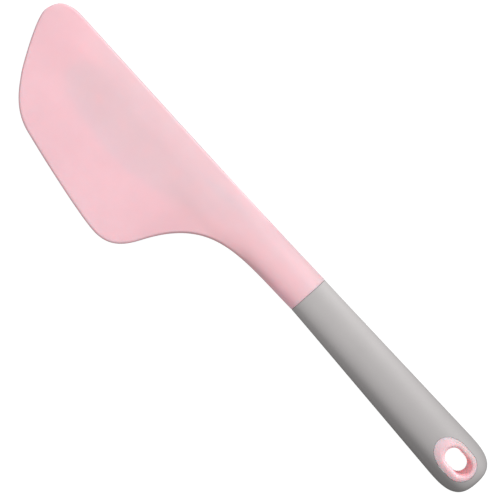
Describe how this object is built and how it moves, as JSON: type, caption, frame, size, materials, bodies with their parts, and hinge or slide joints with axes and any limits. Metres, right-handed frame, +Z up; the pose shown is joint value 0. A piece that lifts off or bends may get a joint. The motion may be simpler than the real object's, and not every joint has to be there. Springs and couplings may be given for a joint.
{
  "type": "offset spatula",
  "caption": "Flexible silicone spatula whose blade is offset to one side, with a soft-grip handle and a hanging eye.",
  "frame": {"origin": "centre of the object's bounding box in X and Y, at its lowest point in Z, lying flat on its back", "axes": "+X along the handle towards the blade's tip, +Y towards the side that the blade is offset to, +Z up through the blade's faces"},
  "size_m": [0.32, 0.0728, 0.0202],
  "materials": {
    "pink_silicone": "satin moulded silicone",
    "stiff_nylon": "plain moulded nylon",
    "pink_plastic": "plain moulded plastic",
    "grey_soft_grip": "matte soft touch",
    "pink_eyelet": "satin"
  },
  "bodies": {
    "root": {"silicone_head": "pink_silicone", "core_plate": "stiff_nylon", "handle_core": "pink_plastic", "soft_grip": "grey_soft_grip", "hanging_eye": "pink_eyelet"}
  },
  "joints": []
}
